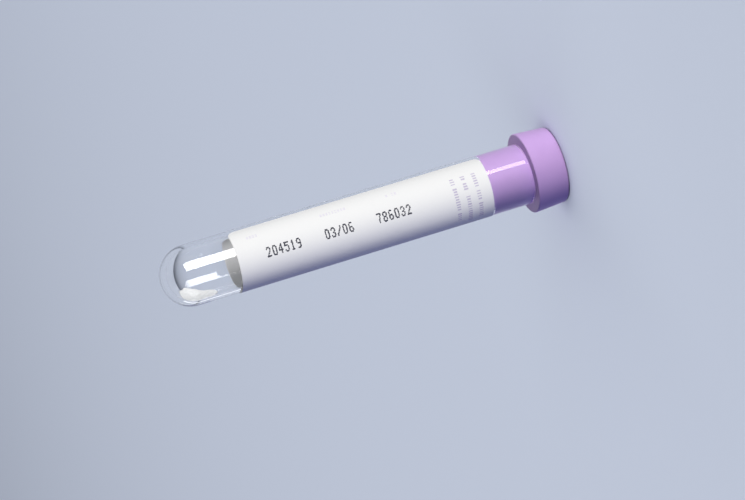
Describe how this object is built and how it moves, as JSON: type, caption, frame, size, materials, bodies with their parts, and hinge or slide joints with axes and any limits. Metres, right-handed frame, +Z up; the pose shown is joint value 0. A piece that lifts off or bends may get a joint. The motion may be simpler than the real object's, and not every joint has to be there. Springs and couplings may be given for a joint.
{
  "type": "blood collection tube",
  "caption": "Round-bottom glass sample tube with a hollow rubber stopper that pulls off, a wrapped paper label and a little dried additive.",
  "frame": {"origin": "centre of the flat top of the stopper's head, which the object stands on", "axes": "+Z is up, along the tube's axis from the stopper to the closed round end; +X points to the middle of the clear strip that the label leaves open; the printed numbers face -Y"},
  "size_m": [0.0212, 0.0212, 0.1088],
  "materials": {
    "glass": "clear blown borosilicate glass, fire-polished at the rim",
    "stopper_rubber": "matt lavender moulded rubber with a light silicone film",
    "label_paper": "white coated label paper, matt, with dark grey dot-printed numbers",
    "dried_additive": "white dried salt, matt and a little uneven"
  },
  "bodies": {
    "stopper": {"stopper": "stopper_rubber"},
    "tube": {"tube": "glass", "label": "label_paper", "additive": "dried_additive"}
  },
  "joints": [
    {"name": "stopper_pull", "type": "slide", "parent": "stopper", "child": "tube", "axis": [0, 0, 1], "range_m": [0, 0.04]}
  ]
}
